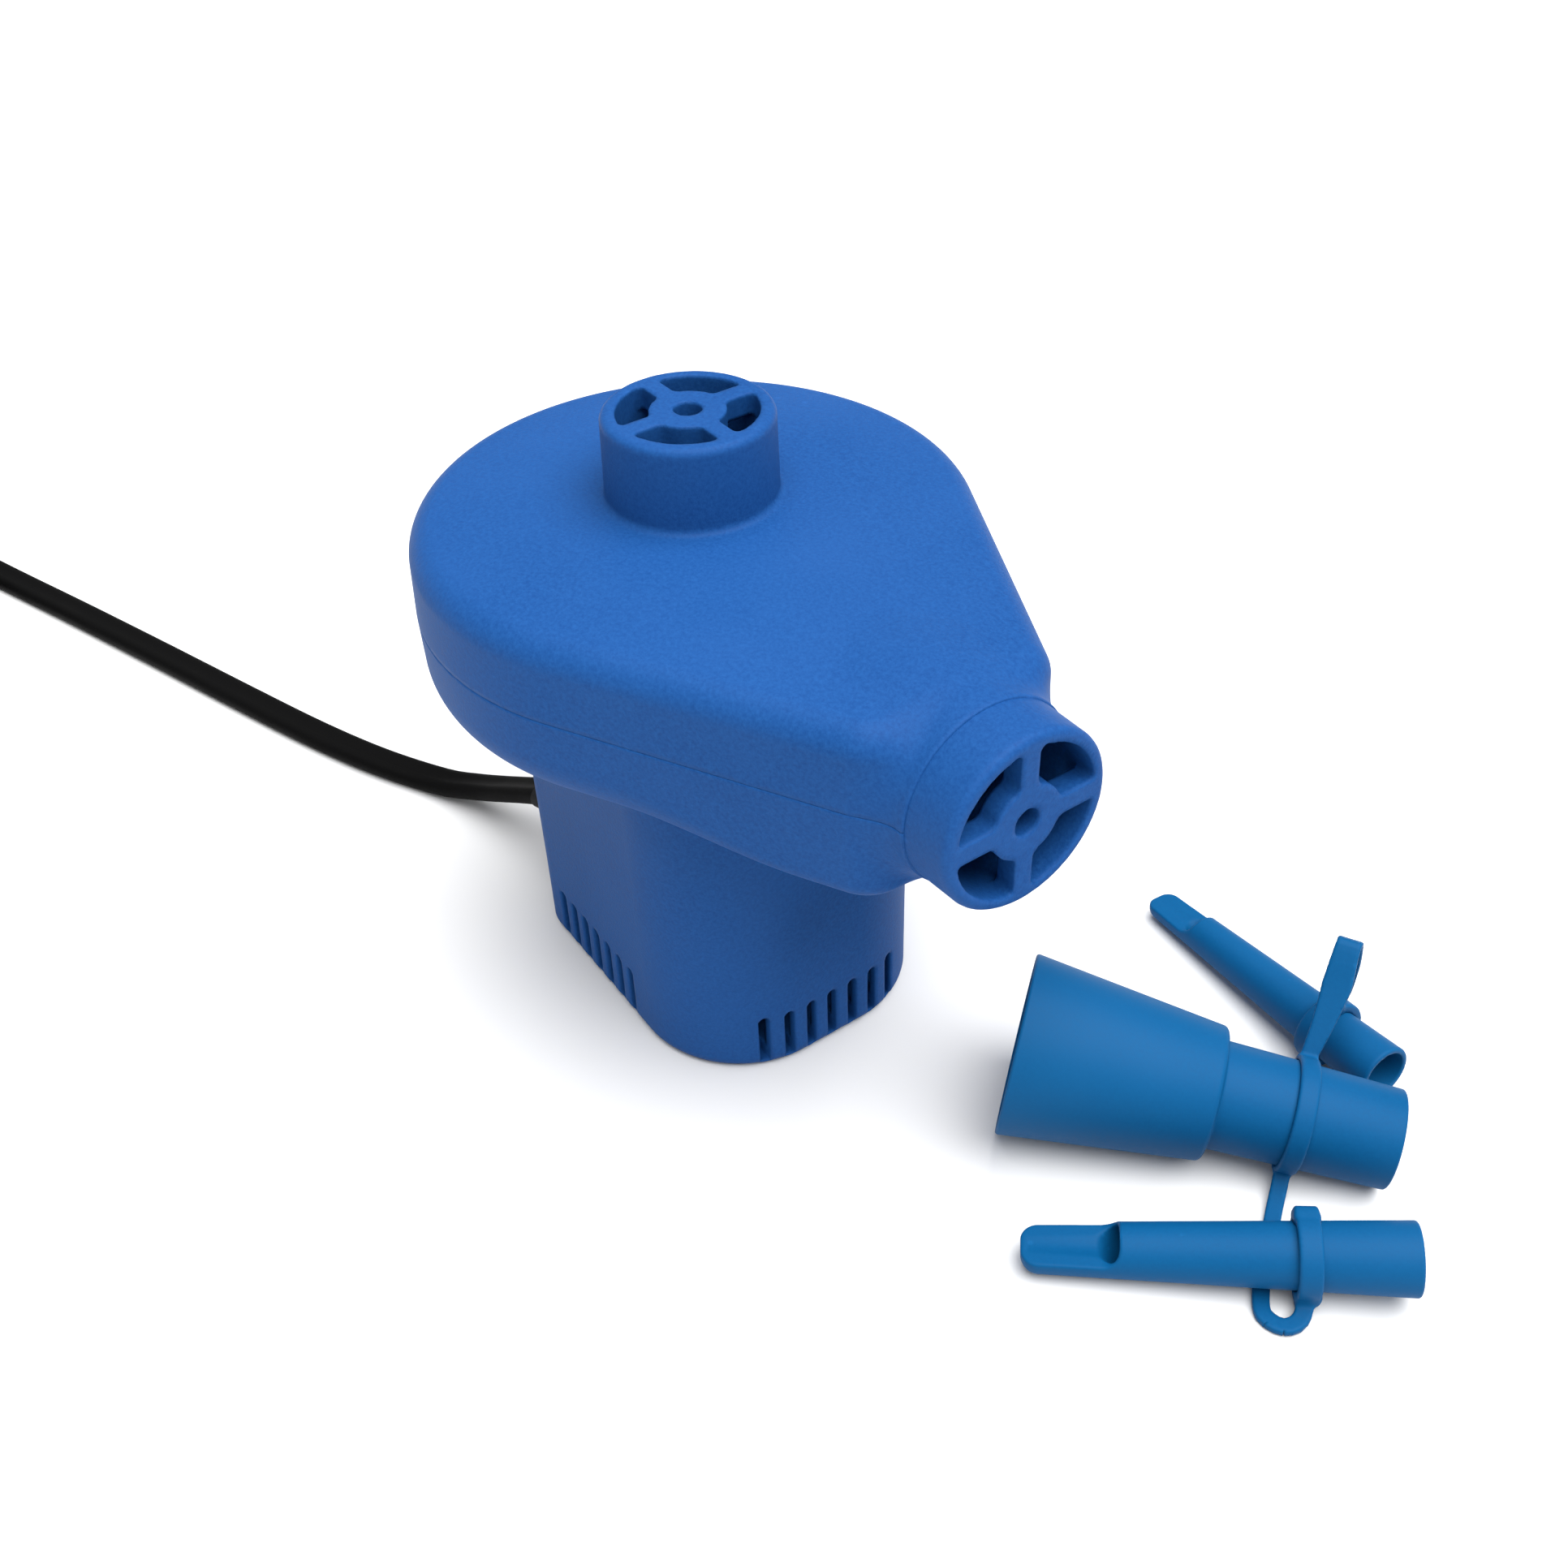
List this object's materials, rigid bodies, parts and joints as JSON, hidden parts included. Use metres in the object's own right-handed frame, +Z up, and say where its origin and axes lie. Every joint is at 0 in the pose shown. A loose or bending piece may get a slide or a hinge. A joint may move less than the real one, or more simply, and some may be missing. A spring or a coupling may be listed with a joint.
{
  "type": "electric air mattress pump",
  "caption": "Mains electric air pump: a centrifugal blower on a vertical motor with intake and outlet ports, a cooling-slotted base, a flat cord and tethered valve nozzles.",
  "frame": {"origin": "on the motor and impeller axis, in the plane of the base's underside", "axes": "+X along the outlet tube, +Z up the motor axis and the intake port, the base rests on z = 0"},
  "size_m": [0.4273, 0.2487, 0.1152],
  "materials": {
    "shell_plastic": "satin, fine moulded grain",
    "nozzle_plastic": "smooth semi-gloss",
    "zinc_plate": "zinc plated",
    "steel": "plain",
    "lamination": "stacked electrical steel",
    "copper": "enamelled winding wire",
    "brass": "plain",
    "carbon": "pressed carbon",
    "cream_plastic": "natural nylon",
    "capacitor_case": "potted case",
    "lead_insulation": "soft sleeve",
    "black_rubber": "moulded",
    "cord_jacket": "satin vinyl",
    "tie_fabric": "hook and loop",
    "switch_plastic": "moulded"
  },
  "bodies": {
    "pump": {"lower_housing": "shell_plastic", "top_cover": "shell_plastic", "outlet_tube": "shell_plastic", "volute_plate": "zinc_plate", "cover_screws": "steel", "plate_screws": "steel", "motor_cushion": "black_rubber", "lower_bracket": "zinc_plate", "upper_bracket": "zinc_plate", "lower_bearing": "steel", "upper_bearing": "steel", "stator_core": "lamination", "field_coils": "copper", "motor_bolts": "steel", "motor_mount_screws": "steel", "brush_holders": "brass", "carbon_brushes": "carbon", "brush_springs": "steel", "capacitor": "capacitor_case", "internal_leads": "lead_insulation", "switch_body": "switch_plastic", "switch_terminals": "brass", "cord_clamp": "cream_plastic", "strain_relief": "black_rubber", "cord": "cord_jacket", "cord_coil": "cord_jacket", "cord_tail": "cord_jacket", "cord_tie": "tie_fabric", "plug_body": "black_rubber", "plug_blades": "brass"},
    "rotor": {"motor_shaft": "steel", "armature_core": "lamination", "armature_winding": "copper", "commutator": "copper", "cooling_fan": "cream_plastic", "impeller": "cream_plastic", "impeller_washer": "steel", "impeller_nut": "steel"},
    "rocker": {"switch_rocker": "switch_plastic"},
    "nozzle_set": {"nozzle_tether": "nozzle_plastic", "small_nozzle": "nozzle_plastic"},
    "adapter": {"valve_adapter": "nozzle_plastic"},
    "large_nozzle": {"large_nozzle": "nozzle_plastic"}
  },
  "joints": [
    {"name": "rotor_spin", "type": "hinge", "parent": "pump", "child": "rotor", "pos_m": [0, 0, 0.04], "axis": [0, 0, 1], "continuous": true},
    {"name": "switch_rock", "type": "hinge", "parent": "pump", "child": "rocker", "pos_m": [-0.0244, 0, 0.058], "axis": [0, 1, 0], "range_deg": [0, 20]},
    {"name": "nozzle_set_slide", "type": "slide", "parent": "pump", "child": "nozzle_set", "axis": [1, 0, 0], "range_m": [0, 0.15]},
    {"name": "adapter_pull", "type": "slide", "parent": "nozzle_set", "child": "adapter", "axis": [-0.7699, -0.6281, 0.1128], "range_m": [0, 0.02]},
    {"name": "large_nozzle_pull", "type": "slide", "parent": "nozzle_set", "child": "large_nozzle", "axis": [0.668, 0.7409, 0.0697], "range_m": [0, 0.05]}
  ]
}
